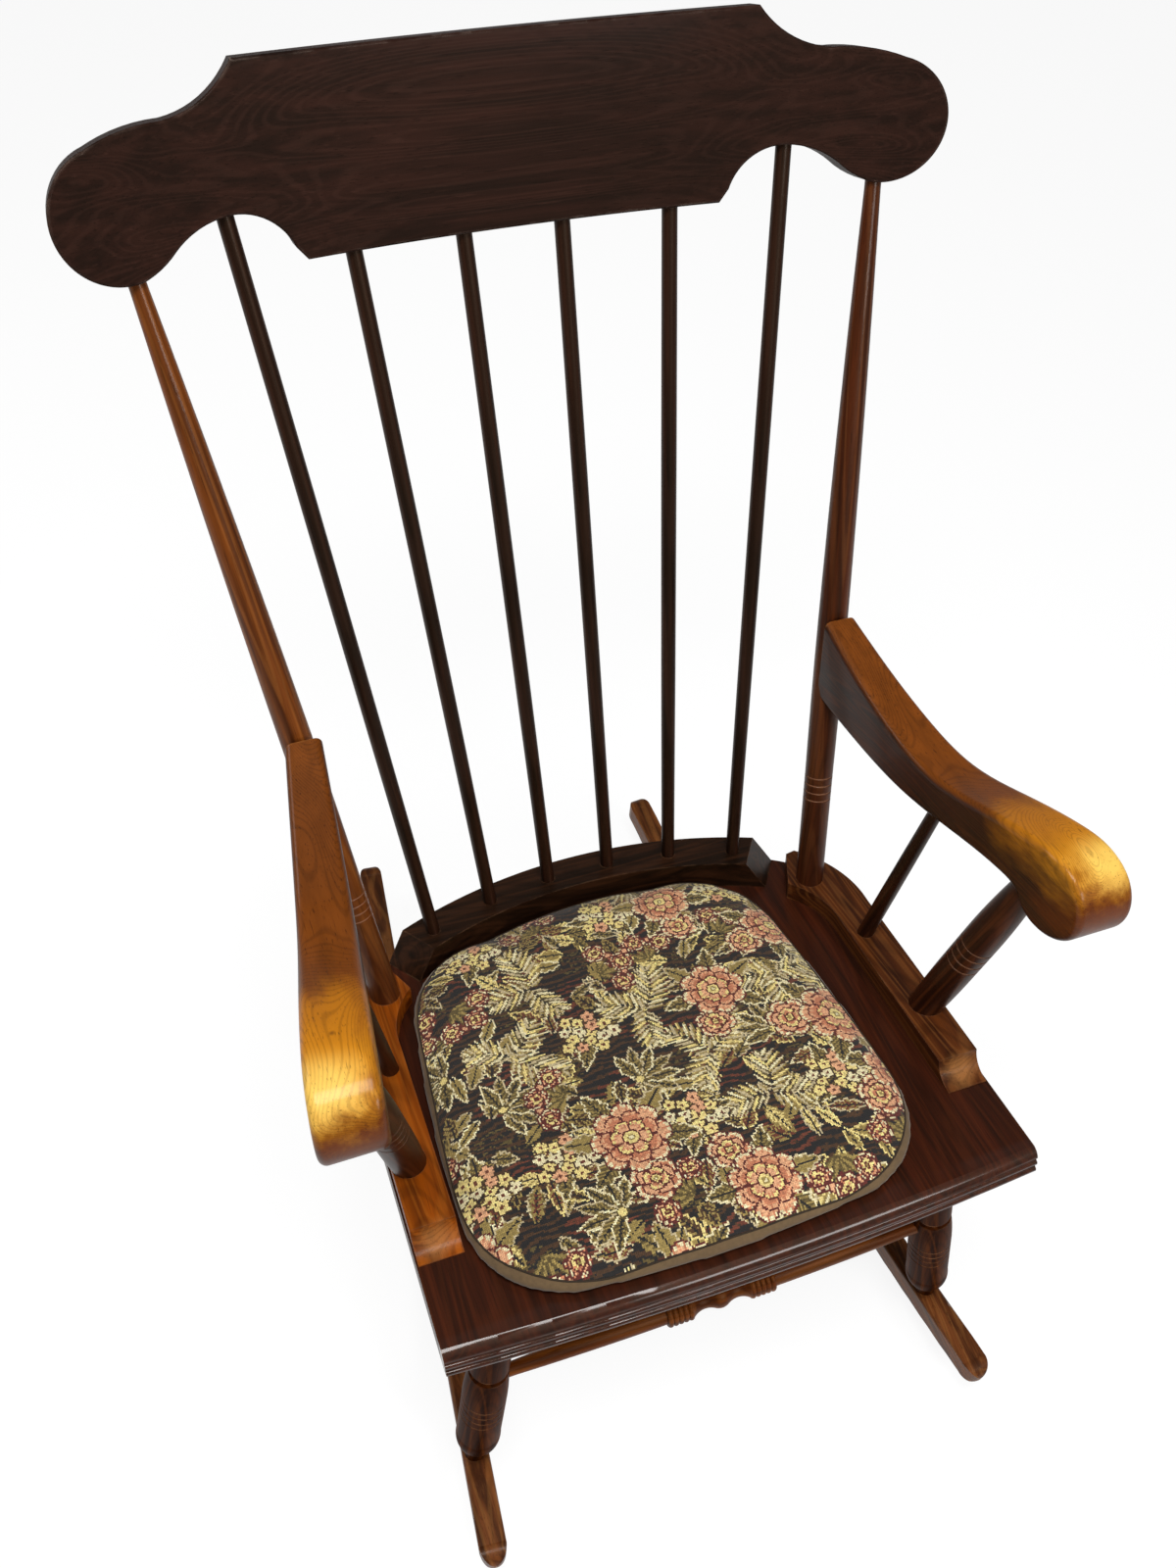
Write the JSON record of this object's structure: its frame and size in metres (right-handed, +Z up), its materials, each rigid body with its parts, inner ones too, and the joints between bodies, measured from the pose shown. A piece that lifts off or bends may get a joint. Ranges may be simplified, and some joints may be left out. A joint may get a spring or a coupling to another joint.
{
  "type": "rocking chair",
  "caption": "High-backed wooden rocking chair with turned spindles and posts, scroll arms, a board seat with a loose woven pad, and turned legs on curved runners.",
  "frame": {"origin": "middle of the footprint's bounding box, on the floor under the runners", "axes": "+Z up, -Y towards the front of the chair, +X to the right as seen from the front"},
  "size_m": [0.704, 0.8588, 1.0455],
  "materials": {
    "dark_wood": "satin varnish, nearly black brown",
    "back_post_wood": "gloss varnish, amber to red brown",
    "arm_wood": "gloss varnish, amber with paler worn scrolls",
    "post_wood": "gloss varnish, red brown",
    "seat_wood": "satin varnish, dark red brown",
    "rail_wood": "satin varnish, mid brown to honey",
    "leg_wood": "satin varnish, dark brown",
    "stretcher_wood": "satin varnish, olive brown",
    "screw_steel": "plain steel",
    "tapestry": "woven cover in dark brown, cream, olive and rose, velvet band"
  },
  "bodies": {
    "chair": {"seat_board": "seat_wood", "side_rail_left": "rail_wood", "side_rail_right": "rail_wood", "rear_rail": "rail_wood", "back_post_left": "back_post_wood", "back_post_right": "back_post_wood", "back_spindle_1": "dark_wood", "back_spindle_2": "dark_wood", "back_spindle_3": "dark_wood", "back_spindle_4": "dark_wood", "back_spindle_5": "dark_wood", "back_spindle_6": "dark_wood", "crest_rail": "dark_wood", "arm_left": "arm_wood", "arm_right": "arm_wood", "arm_post_left": "post_wood", "arm_post_right": "post_wood", "arm_spindle_left": "post_wood", "arm_spindle_right": "post_wood", "front_leg_left": "leg_wood", "front_leg_right": "leg_wood", "rear_leg_left": "leg_wood", "rear_leg_right": "leg_wood", "runner_left": "leg_wood", "runner_right": "leg_wood", "front_stretcher": "stretcher_wood", "rear_stretcher": "stretcher_wood", "side_stretcher_left": "stretcher_wood", "side_stretcher_right": "stretcher_wood", "rail_screws": "screw_steel", "arm_screws": "screw_steel"},
    "pad": {"seat_cushion": "tapestry"}
  },
  "joints": [
    {"name": "pad_lift", "type": "slide", "parent": "chair", "child": "pad", "axis": [0, 0, 1], "range_m": [0, 0.3]}
  ]
}
